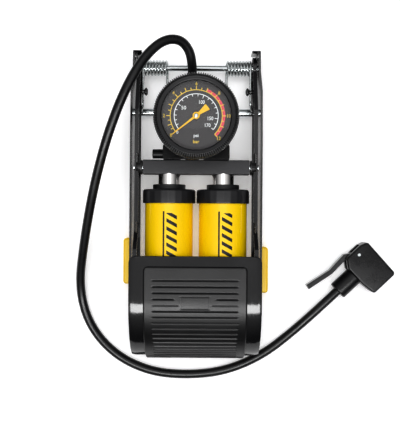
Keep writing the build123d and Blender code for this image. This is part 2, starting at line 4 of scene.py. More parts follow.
import bpy
import numpy as np
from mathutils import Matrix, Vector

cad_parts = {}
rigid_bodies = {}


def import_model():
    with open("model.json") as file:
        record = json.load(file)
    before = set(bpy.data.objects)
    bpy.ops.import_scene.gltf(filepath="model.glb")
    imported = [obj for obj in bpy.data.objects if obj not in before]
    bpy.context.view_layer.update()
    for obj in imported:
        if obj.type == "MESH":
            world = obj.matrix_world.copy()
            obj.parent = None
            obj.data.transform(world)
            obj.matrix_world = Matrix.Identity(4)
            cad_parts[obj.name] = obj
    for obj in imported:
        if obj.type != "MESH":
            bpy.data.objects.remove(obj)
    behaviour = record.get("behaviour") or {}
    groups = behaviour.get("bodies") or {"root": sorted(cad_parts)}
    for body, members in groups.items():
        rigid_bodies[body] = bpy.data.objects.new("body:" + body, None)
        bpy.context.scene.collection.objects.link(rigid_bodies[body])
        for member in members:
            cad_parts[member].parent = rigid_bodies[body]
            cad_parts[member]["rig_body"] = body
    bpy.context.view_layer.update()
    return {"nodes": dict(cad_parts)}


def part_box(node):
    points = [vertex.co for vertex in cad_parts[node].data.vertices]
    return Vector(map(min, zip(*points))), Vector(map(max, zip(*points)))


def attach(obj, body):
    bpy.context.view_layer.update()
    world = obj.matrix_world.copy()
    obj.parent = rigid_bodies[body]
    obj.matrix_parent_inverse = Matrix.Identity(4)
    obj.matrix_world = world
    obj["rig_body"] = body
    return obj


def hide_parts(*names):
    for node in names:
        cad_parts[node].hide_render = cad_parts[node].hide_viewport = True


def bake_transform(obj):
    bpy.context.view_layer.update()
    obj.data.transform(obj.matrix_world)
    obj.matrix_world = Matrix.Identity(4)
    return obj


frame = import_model()
MM = 0.001

# Studio: a white floor, a surround that brightens overhead, three soft boxes and the camera,
# which looks straight down on the pump from 0.7 m. Only gloss sees the front box, and only
# matt surfaces the overhead fill.

world = bpy.data.worlds.new("studio_surround")
world.use_nodes = True
sky_nodes, sky_links = world.node_tree.nodes, world.node_tree.links
facing = sky_nodes.new("ShaderNodeTexCoord")
height = sky_nodes.new("ShaderNodeSeparateXYZ")
falloff = sky_nodes.new("ShaderNodeMapRange")
falloff.inputs["From Min"].default_value = 0.0
falloff.inputs["From Max"].default_value = 1.0
falloff.inputs["To Min"].default_value = 0.05
falloff.inputs["To Max"].default_value = 0.95
rise = sky_nodes.new("ShaderNodeMath")
rise.operation = "POWER"
rise.use_clamp = True
rise.inputs[1].default_value = 2.2
sky_links.new(facing.outputs["Generated"], height.inputs["Vector"])
sky_links.new(height.outputs["Z"], rise.inputs[0])
sky_links.new(rise.outputs["Value"], falloff.inputs["Value"])
seen = sky_nodes.new("ShaderNodeLightPath")
backdrop = sky_nodes.new("ShaderNodeMath")
backdrop.operation = "MAXIMUM"
sky_links.new(falloff.outputs["Result"], backdrop.inputs[0])
sky_links.new(seen.outputs["Is Camera Ray"], backdrop.inputs[1])
sky_links.new(backdrop.outputs["Value"], sky_nodes["Background"].inputs["Strength"])
sky_nodes["Background"].inputs["Color"].default_value = (1.0, 1.0, 1.0, 1.0)
bpy.context.scene.world = world
bpy.context.scene.view_settings.view_transform = "Standard"
bpy.context.scene.view_settings.exposure = 0.3
bpy.context.scene.view_settings.gamma = 0.8

bpy.ops.mesh.primitive_plane_add(size=1.0, location=(0, 0, 0))
floor = bpy.context.active_object
floor.name = "studio_floor"
floor_paint = bpy.data.materials.new("white_floor")
floor_paint.use_nodes = True
floor_shader = floor_paint.node_tree.nodes["Principled BSDF"]
floor_shader.inputs["Base Color"].default_value = (0.9, 0.9, 0.91, 1)
floor_shader.inputs["Roughness"].default_value = 0.7
floor_shader.inputs["Emission Color"].default_value = (1.0, 0.995, 0.99, 1)
floor_shader.inputs["Emission Strength"].default_value = 0.24
floor.data.materials.append(floor_paint)


def soft_box(name, place, target, width, depth, power):
    """A rectangular studio light that faces the target point."""
    lamp = bpy.data.lights.new(name, "AREA")
    lamp.shape = "RECTANGLE"
    lamp.size = width
    lamp.size_y = depth
    lamp.energy = power
    box = bpy.data.objects.new(name, lamp)
    bpy.context.scene.collection.objects.link(box)
    box.location = place
    aim = Vector(target) - Vector(place)
    box.rotation_euler = aim.to_track_quat("-Z", "Y").to_euler()
    return box


soft_box("top_soft_box", (0.0, 0.5, 1.35), (0, 0.1, 0.03), 0.9, 0.7, 1.2)
fill = soft_box("overhead_fill", (0.0, 0.1, 1.4), (0, 0, 0.03), 1.0, 1.0, 8.5)
fill.visible_glossy = False
strip = soft_box("front_soft_box", (0.0, -0.5, 1.02), (0, -0.1, 0.03), 1.1, 0.3, 15.0)
strip.visible_diffuse = False

camera_data = bpy.data.cameras.new("camera")
camera_data.sensor_width = 36.0
camera_height = 0.7
floor_in_view = 0.425  # metres of floor from the top of the view to its bottom
camera_data.lens = camera_data.sensor_width * camera_height / floor_in_view
camera = bpy.data.objects.new("camera", camera_data)
camera.location = (3.9 * MM, -6.0 * MM, camera_height)
camera.rotation_euler = (0, 0, math.radians(0.4))
bpy.context.scene.collection.objects.link(camera)
bpy.context.scene.camera = camera

# Side plates: 2 mm pressed steel, stove-enamelled gloss black, with a joggle at the hinge
# and a tab at the rear end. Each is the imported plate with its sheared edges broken.


def finish_group():
    """Node group: a base colour broken up by broad patches, a fine grain for gloss and bump."""
    group = bpy.data.node_groups.new("handled_finish", "ShaderNodeTree")
    sockets = [
        ("Place", "NodeSocketVector"),
        ("Base", "NodeSocketColor"),
        ("Patch", "NodeSocketColor"),
        ("Patch Amount", "NodeSocketFloat"),
        ("Patch Scale", "NodeSocketFloat"),
        ("Grain Scale", "NodeSocketFloat"),
        ("Gloss Low", "NodeSocketFloat"),
        ("Gloss High", "NodeSocketFloat"),
        ("Grain Depth", "NodeSocketFloat"),
    ]
    for name, kind in sockets:
        group.interface.new_socket(name=name, in_out="INPUT", socket_type=kind)
    group.interface.new_socket(name="Color", in_out="OUTPUT", socket_type="NodeSocketColor")
    group.interface.new_socket(name="Roughness", in_out="OUTPUT", socket_type="NodeSocketFloat")
    group.interface.new_socket(name="Normal", in_out="OUTPUT", socket_type="NodeSocketVector")
    nodes = group.nodes
    entry = nodes.new("NodeGroupInput")
    leave = nodes.new("NodeGroupOutput")
    patches = nodes.new("ShaderNodeTexNoise")
    patches.inputs["Detail"].default_value = 5.0
    grain = nodes.new("ShaderNodeTexNoise")
    grain.inputs["Detail"].default_value = 3.0
    spread = nodes.new("ShaderNodeMapRange")
    spread.inputs["From Min"].default_value = 0.42
    spread.inputs["From Max"].default_value = 0.68
    amount = nodes.new("ShaderNodeMath")
    amount.operation = "MULTIPLY"
    blend = nodes.new("ShaderNodeMix")
    blend.data_type = "RGBA"
    mixed = nodes.new("ShaderNodeMath")
    mixed.operation = "ADD"
    halved = nodes.new("ShaderNodeMath")
    halved.operation = "MULTIPLY"
    halved.inputs[1].default_value = 0.5
    gloss = nodes.new("ShaderNodeMapRange")
    gloss.inputs["From Min"].default_value = 0.35
    gloss.inputs["From Max"].default_value = 0.65
    bump = nodes.new("ShaderNodeBump")
    bump.inputs["Distance"].default_value = 0.0002
    wires = [
        (entry, "Place", patches, "Vector"), (entry, "Place", grain, "Vector"),
        (entry, "Patch Scale", patches, "Scale"), (entry, "Grain Scale", grain, "Scale"),
        (patches, "Fac", spread, "Value"), (spread, "Result", amount, 0),
        (entry, "Patch Amount", amount, 1), (amount, "Value", blend, 0),
        (entry, "Base", blend, 6), (entry, "Patch", blend, 7),
        (patches, "Fac", mixed, 0), (grain, "Fac", mixed, 1), (mixed, "Value", halved, 0),
        (halved, "Value", gloss, "Value"), (entry, "Gloss Low", gloss, "To Min"),
        (entry, "Gloss High", gloss, "To Max"), (grain, "Fac", bump, "Height"),
        (entry, "Grain Depth", bump, "Strength"), (blend, 2, leave, "Color"),
        (gloss, "Result", leave, "Roughness"), (bump, "Normal", leave, "Normal"),
    ]
    for source, output, target, entry_point in wires:
        group.links.new(source.outputs[output], target.inputs[entry_point])
    return group


handled_finish = finish_group()


def finish(name, base, patch, gloss, patch_amount=0.4, patch_scale=60.0, grain_scale=900.0,
           grain_depth=0.1, metallic=0.0, coat=0.0, stretch=(1, 1, 1), specular=0.5):
    """A material of the handled finish: two colours, a gloss range, grain and specular level."""
    material = bpy.data.materials.new(name)
    material.use_nodes = True
    nodes, links = material.node_tree.nodes, material.node_tree.links
    shader = nodes["Principled BSDF"]
    place = nodes.new("ShaderNodeTexCoord")
    turn = nodes.new("ShaderNodeMapping")
    turn.inputs["Scale"].default_value = stretch
    worn = nodes.new("ShaderNodeGroup")
    worn.node_tree = handled_finish
    worn.name = "finish"
    worn.inputs["Base"].default_value = (*base, 1)
    worn.inputs["Patch"].default_value = (*patch, 1)
    worn.inputs["Patch Amount"].default_value = patch_amount
    worn.inputs["Patch Scale"].default_value = patch_scale
    worn.inputs["Grain Scale"].default_value = grain_scale
    worn.inputs["Gloss Low"].default_value = gloss[0]
    worn.inputs["Gloss High"].default_value = gloss[1]
    worn.inputs["Grain Depth"].default_value = grain_depth
    links.new(place.outputs["Object"], turn.inputs["Vector"])
    links.new(turn.outputs["Vector"], worn.inputs["Place"])
    links.new(worn.outputs["Color"], shader.inputs["Base Color"])
    links.new(worn.outputs["Roughness"], shader.inputs["Roughness"])
    links.new(worn.outputs["Normal"], shader.inputs["Normal"])
    shader.inputs["Metallic"].default_value = metallic
    shader.inputs["Coat Weight"].default_value = coat
    shader.inputs["Coat Roughness"].default_value = 0.05
    shader.inputs["Specular IOR Level"].default_value = specular
    return material


def dress(piece, material):
    """Give a piece or a CAD node one material and nothing else."""
    piece.data.materials.clear()
    piece.data.materials.append(material)


def fit(piece, material, body, slot, *stands_for):
    """Dress a piece, fix it to the body it moves with and hide the CAD nodes it stands for."""
    dress(piece, material)
    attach(piece, body)
    if stands_for:
        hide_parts(*stands_for)


def shade_by_angle(mesh, degrees):
    """Smooth shading, left sharp where faces meet at more than the angle."""
    mesh.shade_smooth()
    mesh.set_sharp_from_angle(angle=math.radians(degrees))


def broken_edges(name, node, width, steps=2, angle=38):
    """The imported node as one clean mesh, its hard edges rounded to the given width in mm."""
    import bmesh

    source = frame["nodes"][node]
    mesh = source.data.copy()
    mesh.name = name
    work = bmesh.new()
    work.from_mesh(mesh)
    bmesh.ops.remove_doubles(work, verts=work.verts, dist=0.002 * MM)
    bmesh.ops.dissolve_limit(
        work, angle_limit=math.radians(0.6), verts=work.verts, edges=work.edges, delimit={"NORMAL"}
    )
    work.to_mesh(mesh)
    work.free()
    piece = bpy.data.objects.new(name, mesh)
    bpy.context.scene.collection.objects.link(piece)
    shade_by_angle(mesh, angle)
    if width:
        bevel = piece.modifiers.new("edges", "BEVEL")
        bevel.width = width * MM
        bevel.segments = steps
        bevel.limit_method = "ANGLE"
        bevel.angle_limit = math.radians(angle)
        bevel.harden_normals = True
    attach(piece, source["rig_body"])
    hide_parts(node)
    return piece


plate_enamel = finish(
    "plate_enamel", (0.008, 0.008, 0.009), (0.03, 0.03, 0.032), (0.1, 0.24),
    patch_amount=0.3, patch_scale=45.0, grain_scale=700.0, grain_depth=0.12, coat=0.5,
)
for side in ("left", "right"):
    plate = broken_edges(f"side_plate_{side}", f"base_plate_{side}", 0.5)
    dress(plate, plate_enamel)

# Hinge axle and cross rod: bright zinc-plated bar, turned over outside the side plates.
# Both are bodies of revolution about an axis that runs across the pump.


def lay_mesh(name, points, faces, smooth_angle=40):
    """A mesh object from points in metres and a list of face index rows."""
    mesh = bpy.data.meshes.new(name)
    mesh.from_pydata(points.tolist(), [], faces)
    mesh.validate()
    mesh.update()
    mesh.calc_loop_triangles()
    corners = np.empty(len(mesh.loop_triangles) * 3, np.int32)
    mesh.loop_triangles.foreach_get("vertices", corners)
    a, b, c = np.moveaxis(points[corners].reshape(-1, 3, 3), 1, 0)
    if np.einsum("ij,ij->i", a, np.cross(b, c)).sum() < 0:
        mesh.flip_normals()
    shade_by_angle(mesh, smooth_angle)
    piece = bpy.data.objects.new(name, mesh)
    bpy.context.scene.collection.objects.link(piece)
    return piece


def grid_faces(rows, columns, wrap_rows=False, wrap_columns=False):
    """Quads over a grid of rows x columns points, as index rows."""
    r = np.arange(rows if wrap_rows else rows - 1)
    c = np.arange(columns if wrap_columns else columns - 1)
    r, c = np.meshgrid(r, c, indexing="ij")
    r2, c2 = (r + 1) % rows, (c + 1) % columns
    quads = np.stack([r * columns + c, r2 * columns + c, r2 * columns + c2, r * columns + c2], -1)
    return quads.reshape(-1, 4)


def eased(corners, radius, steps=4):
    """A closed or open outline with each corner replaced by a short curve of the given reach.

    Each curve is quadratic: (1-t)^2 A + 2t(1-t) P + t^2 B, with A and B on the two sides of P."""
    corners = np.asarray(corners, float)
    result = [corners[:1]]
    t = np.linspace(0, 1, steps + 1)[:, None]
    for before, corner, after in zip(corners, corners[1:], corners[2:]):
        back, ahead = before - corner, after - corner
        reach = min(radius, 0.45 * np.linalg.norm(back), 0.45 * np.linalg.norm(ahead))
        a = corner + back / np.linalg.norm(back) * reach
        b = corner + ahead / np.linalg.norm(ahead) * reach
        result.append((1 - t) ** 2 * a + 2 * t * (1 - t) * corner + t**2 * b)
    result.append(corners[-1:])
    return np.vstack(result)


def turned(name, outline, centre, axis, steps=96, swell=None, smooth_angle=32):
    """A solid of revolution: radius and height along the axis, turned round the centre, in mm.

    A point is centre + axis * height + radius * (cos a, sin a) across the axis; swell(a, r, height)
    multiplies the radius. An outline that starts and ends on the axis closes at two poles."""
    outline = np.asarray(outline, float)
    angle = np.linspace(0, 2 * np.pi, steps, endpoint=False)
    radius = np.broadcast_to(outline[None, :, 0], (steps, len(outline))).copy()
    height = np.broadcast_to(outline[None, :, 1], (steps, len(outline)))
    if swell is not None:
        radius *= swell(angle[:, None], radius, height)
    across = radius * np.cos(angle)[:, None]
    up = radius * np.sin(angle)[:, None]
    order = {"X": (height, across, up), "Y": (up, height, across), "Z": (across, up, height)}
    points = (np.stack(order[axis], -1).reshape(-1, 3) + np.asarray(centre)) * MM
    closed = outline[0, 0] > 0 and np.allclose(outline[0], outline[-1])
    if closed:
        count = len(outline) - 1
        points = points.reshape(steps, -1, 3)[:, :-1].reshape(-1, 3)
        return lay_mesh(name, points, grid_faces(steps, count, True, True).tolist(), smooth_angle)
    count = len(outline)
    faces = grid_faces(steps, count, True, False)
    first = np.arange(steps) * count
    remap = np.arange(steps * count)
    remap[first] = 0
    remap[first + count - 1] = count - 1
    faces = remap[faces]
    rows = [[v for i, v in enumerate(quad) if v != quad[i - 1]] for quad in faces.tolist()]
    used = np.unique(np.concatenate(rows))
    lookup = dict(zip(used.tolist(), range(len(used))))
    rows = [[lookup[v] for v in r] for r in rows]
    return lay_mesh(name, points[used], rows, smooth_angle)


def node_middle(node):
    """Centre of a CAD node's box and its three sizes, in mm."""
    low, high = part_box(node)
    low, high = np.array(low) / MM, np.array(high) / MM
    return (low + high) / 2, high - low


zinc = finish(
    "bright_zinc", (0.62, 0.65, 0.66), (0.42, 0.46, 0.47), (0.12, 0.3), patch_amount=0.5,
    patch_scale=160.0, grain_scale=900.0, grain_depth=0.15, metallic=1.0, stretch=(0.15, 1, 1),
)
axle_middle, axle_size = node_middle("hinge_axle")
axle_half = axle_size[0] / 2
axle_radius = 3.0
head_radius = 5.0
shank_half = axle_half - 1.5
axle_outline = eased(
    [
        (0, -axle_half), (head_radius, -axle_half), (head_radius, -shank_half),
        (axle_radius, -shank_half), (axle_radius, shank_half), (head_radius, shank_half),
        (head_radius, axle_half), (0, axle_half),
    ],
    0.5,
)
axle = turned("hinge_axle_bar", axle_outline, axle_middle, "X", 48)
fit(axle, zinc, "base", "bright_steel", "hinge_axle")

rod_middle, rod_size = node_middle("cross_rod")
rod_half = rod_size[0] / 2
cross_radius = 4.0
cross_outline = eased(
    [(0, -rod_half), (cross_radius, -rod_half), (cross_radius, rod_half), (0, rod_half)], 0.6
)
cross = turned("cross_rod_bar", cross_outline, rod_middle, "X", 56)
fit(cross, zinc, "base", "bright_steel", "cross_rod")
dress(frame["nodes"]["base_rivets"], zinc)

# Barrel bracket: a folded steel strap on the floor with two lugs for the barrels' pivot pin,
# satin black, riveted between the side plates.

bracket_paint = finish(
    "bracket_paint", (0.014, 0.014, 0.015), (0.04, 0.04, 0.042), (0.3, 0.5), patch_scale=50.0,
    grain_depth=0.2,
)
bracket = broken_edges("folded_bracket", "barrel_bracket", 0.3)
dress(bracket, bracket_paint)

# Clip-on feet: moulded yellow shoes that wrap the side plates' lower edges, slightly scuffed
# along the outer face.

foot_yellow = finish(
    "foot_yellow", (0.99, 0.66, 0.008), (0.95, 0.58, 0.006), (0.38, 0.55), patch_amount=0.35,
    patch_scale=70.0, grain_scale=1400.0, grain_depth=0.2,
)
for side in ("left", "right"):
    shoe = broken_edges(f"clip_foot_{side}", f"foot_{side}", 0.6, 3)
    dress(shoe, foot_yellow)

# Arm rails: two pressed channels, gloss black, that carry the pedal; nylon bushes are pressed
# in where the crossbar turns.

rail_enamel = finish(
    "rail_enamel", (0.006, 0.006, 0.007), (0.02, 0.02, 0.022), (0.1, 0.25), patch_amount=0.35,
    patch_scale=55.0, grain_scale=800.0, grain_depth=0.15,
)
for side in ("left", "right"):
    rail = broken_edges(f"pressed_rail_{side}", f"arm_rail_{side}", 0.35)
    dress(rail, rail_enamel)

nylon = finish(
    "black_nylon", (0.018, 0.018, 0.019), (0.035, 0.035, 0.037), (0.35, 0.5), patch_scale=90.0,
    grain_scale=1500.0, grain_depth=0.2,
)
bushes = broken_edges("nylon_bushes", "pivot_bushes", 0.3)
dress(bushes, nylon)

# Spring knobs: black mushroom studs riveted to the rails; the springs' outer legs press
# up under their stems.

gloss_stud = finish(
    "gloss_black_stud", (0.006, 0.006, 0.007), (0.02, 0.02, 0.02), (0.06, 0.15), patch_scale=120.0,
    coat=0.6,
)
knob_middle, knob_size = node_middle("spring_knobs")
stem_root = knob_size[0] / 2
rail_low_x = abs(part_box("arm_rail_right")[0].x) / MM
stud_tip = rail_low_x - 7.2
knob_outline = eased(
    [
        (0, stud_tip), (2.0, stud_tip), (3.9, stud_tip + 1.3), (3.9, stud_tip + 2.4),
        (2.6, stud_tip + 3.3), (1.8, stud_tip + 3.8), (1.8, stem_root), (0, stem_root),
    ],
    0.9, 5,
)
for side, sign in (("left", -1), ("right", 1)):
    outline = knob_outline * (1, sign)
    stud = turned(f"spring_stud_{side}", outline[:: sign], (0, knob_middle[1], knob_middle[2]), "X", 40)
    fit(stud, gloss_stud, "arm", "black_plastic")
    if side == "left":
        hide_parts("spring_knobs")

# Torsion springs: zinc-plated music wire wound round the hinge axle. The outer leg lifts the
# arm by its knob and ends in a hook; the inner leg rests on the base's cross rod.


def drawn_wire(name, path, radius, steps=14, round_ends=True):
    """A round wire or tube along a path of points in mm.

    Every point has a ring: centre + r (cos a * side + sin a * up), with side and up carried along
    the path without twist. The ends close in a dome of two smaller rings."""
    path = np.asarray(path, float)
    radius = np.broadcast_to(radius, (len(path),)).astype(float).copy()
    tangent = np.gradient(path, axis=0)
    tangent /= np.linalg.norm(tangent, axis=1)[:, None]
    if round_ends:
        first, last = radius[0], radius[-1]
        path = np.vstack([path[0] - tangent[0] * first * 0.5, path[0] - tangent[0] * first * 0.3, path,
                          path[-1] + tangent[-1] * last * 0.3, path[-1] + tangent[-1] * last * 0.5])
        radius = np.r_[first * 0.55, first * 0.85, radius, last * 0.85, last * 0.55]
        tangent = np.vstack([tangent[:1], tangent[:1], tangent, tangent[-1:], tangent[-1:]])
    side = np.cross(tangent[0], (0.0, 0.0, 1.0))
    if np.linalg.norm(side) < 0.1:
        side = np.cross(tangent[0], (0.0, 1.0, 0.0))
    sides = np.empty_like(path)
    for i, along in enumerate(tangent):
        side = side - along * np.dot(side, along)
        side /= np.linalg.norm(side)
        sides[i] = side
    ups = np.cross(tangent, sides)
    angle = np.linspace(0, 2 * np.pi, steps, endpoint=False)
    ring = np.cos(angle)[None, :, None] * sides[:, None] + np.sin(angle)[None, :, None] * ups[:, None]
    points = (path[:, None] + radius[:, None, None] * ring).reshape(-1, 3)
    faces = grid_faces(len(path), steps, False, True)[:, ::-1].tolist()
    faces.append(list(range(steps)))
    faces.append(list(range(len(path) * steps - 1, len(path) * steps - 1 - steps, -1)))
    return lay_mesh(name, points * MM, faces, 60)


spring_wire_finish = finish(
    "spring_wire", (0.6, 0.63, 0.63), (0.36, 0.39, 0.4), (0.16, 0.34), patch_amount=0.5,
    patch_scale=220.0, grain_scale=1200.0, grain_depth=0.15, metallic=1.0,
)
wire_radius = 1.2
coil_radius = 6.5
coil_pitch = 3.06
coil_turns = 7.5
spring_low, spring_high = (np.array(p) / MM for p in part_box("spring_right"))
outer_x = spring_high[0] - 1.25
inner_x = outer_x - coil_turns * coil_pitch
axle_y, axle_z = axle_middle[1], axle_middle[2]
hook = np.array([(0, 0, 0), (0.2, -2.5, -0.6), (0.8, -5.0, -2.6), (2.0, -7.5, -5.0)])


def wound(turn):
    """Points on the coil at an angle from its top, one pitch inward for each turn."""
    x = outer_x - turn / (2 * np.pi) * coil_pitch
    return np.stack([x, axle_y + coil_radius * np.sin(turn), axle_z + coil_radius * np.cos(turn)], -1)


def spring_coil(sign):
    """Hook, outer leg and coil as one path: the coil's angle falls from the top as X runs inward."""
    leg_end_y = axle_y - 34.0
    leg = np.stack(
        [np.full(16, outer_x), np.linspace(leg_end_y, axle_y, 16), np.full(16, axle_z + coil_radius)], -1
    )
    tail = hook[::-1] + (outer_x, leg_end_y, axle_z + coil_radius)
    turn = np.linspace(0, coil_turns * 2 * np.pi, 260)[1:]
    path = np.vstack([tail[:-1], leg, wound(turn)])
    path[:, 0] *= sign
    return path


def rest_leg(sign):
    """The inner leg: half a turn over the coil's last wire, then straight over the cross rod."""
    turn = np.linspace((coil_turns - 0.5) * 2 * np.pi, coil_turns * 2 * np.pi, 30)
    over_rod = rod_middle[2] + cross_radius + wire_radius + 0.1
    far_y = spring_low[1] + 1.5
    leg_y = np.linspace(axle_y - 1.5, far_y, 14)
    start_z = axle_z - coil_radius
    slope = (over_rod - start_z) / (axle_y - rod_middle[1])
    leg = np.stack([np.full(14, inner_x), leg_y, start_z + (axle_y - leg_y) * slope], -1)
    path = np.vstack([wound(turn), leg])
    path[:, 0] *= sign
    return path


for side, sign in (("left", -1), ("right", 1)):
    coil = drawn_wire(f"torsion_spring_{side}", spring_coil(sign), wire_radius)
    fit(coil, spring_wire_finish, "arm", "spring_steel", f"spring_{side}")
    leg = drawn_wire(f"spring_rest_leg_{side}", rest_leg(sign), wire_radius)
    fit(leg, spring_wire_finish, "base", "spring_steel")

# Pedal plate: 2 mm steel, flat over the barrels and rolled down in front, gloss black.
# It is a rounded strip carried along the pedal's side line: flat, then an arc.

pedal_low, pedal_high = (np.array(p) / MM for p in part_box("pedal_plate"))
pedal_top = pedal_high[2]
pedal_rear = pedal_high[1]
pedal_radius = 61.5
pedal_lip = math.radians(14.0)
bend_y = pedal_low[1] + pedal_radius * math.cos(pedal_lip)
bend_z = pedal_top - pedal_radius


def pedal_line(along, lift):
    """Y and Z at a distance along the pedal's top from its rear edge, lifted along the outward direction."""
    flat = pedal_rear - bend_y
    angle = np.clip(along - flat, 0, None) / pedal_radius
    y = np.where(along < flat, pedal_rear - along, bend_y - pedal_radius * np.sin(angle))
    z = np.where(along < flat, pedal_top, bend_z + pedal_radius * np.cos(angle))
    return y - lift * np.sin(angle), z + lift * np.cos(angle)


def rounded_half_width(along, start, end, half, corner):
    """Half width of a strip with round corners: half - r + sqrt(r^2 - (r - d)^2) near its ends."""
    near = np.minimum(along - start, end - along)
    d = np.clip(near, 0, corner)
    return half - corner + np.sqrt(corner**2 - (corner - d) ** 2)


def edge_rows(start, end, middle, fine):
    """Distances along a strip that crowd towards both ends, where its corners turn."""
    ease = (1 - np.cos(np.linspace(0, np.pi / 2, 9))) * fine
    return np.r_[start + ease, middle[(middle > start + fine) & (middle < end - fine)], (end - ease)[::-1]]


def rolled_strip(name, along, half, low, top, columns, edge, groove=None):
    """A strip between two lifts above the pedal's line, closed all round.

    Across, the loop runs over the top from one side to the other, round the edge and back under;
    groove(along, x) is taken off the top's lift."""
    t = np.linspace(-1, 1, columns)
    turn = np.linspace(0, 1, 5)[1:-1]
    over = np.stack([t, np.ones(columns)], -1)
    down = np.stack([1 + 0 * turn, 1 - turn], -1)
    back = np.stack([t[::-1], np.zeros(columns)], -1)
    up = np.stack([-1 + 0 * turn, turn], -1)
    loop = np.vstack([over, down, back, up])
    a = along[:, None]
    x = loop[None, :, 0] * half[:, None]
    share = loop[None, :, 1]
    inset = np.abs(share - 0.5) * 2
    reach = np.clip((half[:, None] - np.abs(x)) / edge, 0, 1)
    ends = np.clip(np.minimum(a - along[0], along[-1] - a) / edge, 0, 1)
    round_off = 1 - (1 - np.minimum(reach, ends)) ** 2
    thickness = top - low
    lift = low + thickness * share - (1 - np.sqrt(round_off)) * edge * np.sign(share - 0.5) * inset
    if groove is not None:
        lift = lift - np.where(share > 0.99, groove(a, x), 0.0)
    y, z = pedal_line(a + 0 * x, lift)
    points = np.stack([x, y, z], -1).reshape(-1, 3)
    count = loop.shape[0]
    faces = grid_faces(len(along), count, False, True).tolist()
    faces.append(list(range(count))[::-1])
    faces.append(list(range((len(along) - 1) * count, len(along) * count)))
    return lay_mesh(name, points * MM, faces, 50)


pedal_end = pedal_rear - bend_y + pedal_radius * (math.pi / 2 - pedal_lip)
pedal_along = edge_rows(0.0, pedal_end, np.arange(0.0, pedal_end, 1.6), 6.0)
pedal_half = rounded_half_width(pedal_along, 0.0, pedal_end, pedal_high[0], 6.0)
pedal_enamel = finish(
    "pedal_enamel", (0.006, 0.006, 0.007), (0.014, 0.014, 0.015), (0.06, 0.16), patch_amount=0.25,
    patch_scale=35.0, grain_scale=600.0, grain_depth=0.1,
)
tread_plate = rolled_strip("rolled_pedal", pedal_along, pedal_half, -2.0, 0.0, 42, 0.8)
fit(tread_plate, pedal_enamel, "arm", "pedal_steel", "pedal_plate")

# Pedal pad: moulded rubber bonded to the pedal, with grooves across it and a blank panel
# where the fourth groove stops.

pad_thickness = 2.5
pad_high = np.array(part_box("pedal_pad")[1]) / MM
pad_start = pedal_rear - pad_high[1] - 1.5
pad_end = pedal_rear - bend_y + pedal_radius * math.radians(90 - 11.7)
pad_top_radius = pedal_radius + pad_thickness
groove_first = pad_start + 12.6
groove_pitch = 5.7
groove_count = 18
groove_half = 39.0
panel_half = 13.2
panel_start = pad_start + 27.4
panel_end = pad_start + 38.6


def pad_grooves(along, x):
    """Depth taken off the pad: 0.7 exp(-(d / 0.5)^2) at a distance d from each groove, stopped at
    the groove's ends and at the panel, plus 0.35 exp(-(d / 0.45)^2) round the panel."""
    flat = pedal_rear - bend_y
    face = along + np.clip(along - flat, 0, None) * (pad_top_radius / pedal_radius - 1)
    nearest = np.clip(np.round((face - groove_first) / groove_pitch), 0, groove_count - 1)
    centre = groove_first + nearest * groove_pitch
    ends = 1 / (1 + np.exp((np.abs(x) - groove_half) * 6))
    split = 1 / (1 + np.exp((19.5 - np.abs(x)) * 6))
    short = 1 / (1 + np.exp((panel_half + 2.0 - np.abs(x)) * 6))
    strength = np.where(nearest == 3, split, np.where(nearest == 4, 0.45 * short, 1.0))
    lines = np.exp(-(((face - centre) / 0.5) ** 2)) * ends * strength * 0.7
    inside_x = np.abs(x) - panel_half
    inside_s = np.abs(along - (panel_start + panel_end) / 2) - (panel_end - panel_start) / 2
    rim = np.abs(np.maximum(inside_x, inside_s))
    return lines + 0.35 * np.exp(-((rim / 0.45) ** 2))


pad_along = edge_rows(pad_start, pad_end, np.arange(pad_start, pad_end, 0.27), 4.0)
pad_half = rounded_half_width(pad_along, pad_start, pad_end, pad_high[0], 4.0)
pad_rubber = finish(
    "pad_rubber", (0.002, 0.002, 0.0026), (0.006, 0.006, 0.007), (0.3, 0.45), patch_amount=0.5,
    patch_scale=28.0, grain_scale=1600.0, grain_depth=0.35, specular=0.36,
)
pad = rolled_strip("grooved_pad", pad_along, pad_half, 0.0, pad_thickness, 130, 1.2, pad_grooves)
fit(pad, pad_rubber, "arm", "pad_rubber", "pedal_pad")

# Crossbar and its trunnions: a cast bar drilled for both rods, finished in satin dark grey.
# Bright steel trunnions run from its ends into the rails' bushes.

cast_grey = finish(
    "cast_grey", (0.016, 0.016, 0.019), (0.032, 0.032, 0.037), (0.4, 0.6), patch_scale=70.0,
    grain_scale=1000.0, grain_depth=0.5, stretch=(0.4, 1, 1),
)
bar = broken_edges("cast_crossbar", "crossbar", 0.6, 3)
dress(bar, cast_grey)
dress(frame["nodes"]["trunnion_pins"], zinc)
dress(frame["nodes"]["check_balls"], zinc)

# Piston rods: hard-chromed tube, fixed in the crossbar and sliding through the glands. The
# pistons and their seals are inside the barrels.

hard_chrome = finish(
    "hard_chrome", (0.82, 0.8, 0.79), (0.7, 0.69, 0.69), (0.05, 0.16), patch_amount=0.3,
    patch_scale=90.0, grain_scale=1600.0, grain_depth=0.05, metallic=1.0, stretch=(1, 0.05, 1),
)
rod_bore = 7.5
for side in ("left", "right"):
    middle, size = node_middle(f"piston_rod_{side}")
    half, r = size[1] / 2, size[0] / 2
    outline = eased([(rod_bore, -half), (r, -half), (r, half), (rod_bore, half), (rod_bore, -half)], 0.4)
    tube = turned(f"chromed_rod_{side}", outline, middle, "Y", 96)
    fit(tube, hard_chrome, "manifold", "rod_chrome", f"piston_rod_{side}")
cast_alloy = finish("cast_alloy", (0.5, 0.5, 0.51), (0.36, 0.36, 0.37), (0.35, 0.55), metallic=1.0)
seal_finish = finish("seal_rubber", (0.015, 0.015, 0.015), (0.03, 0.03, 0.03), (0.5, 0.7))
for node in ("piston_left", "piston_right"):
    dress(frame["nodes"][node], cast_alloy)
dress(frame["nodes"]["piston_seals"], seal_finish)

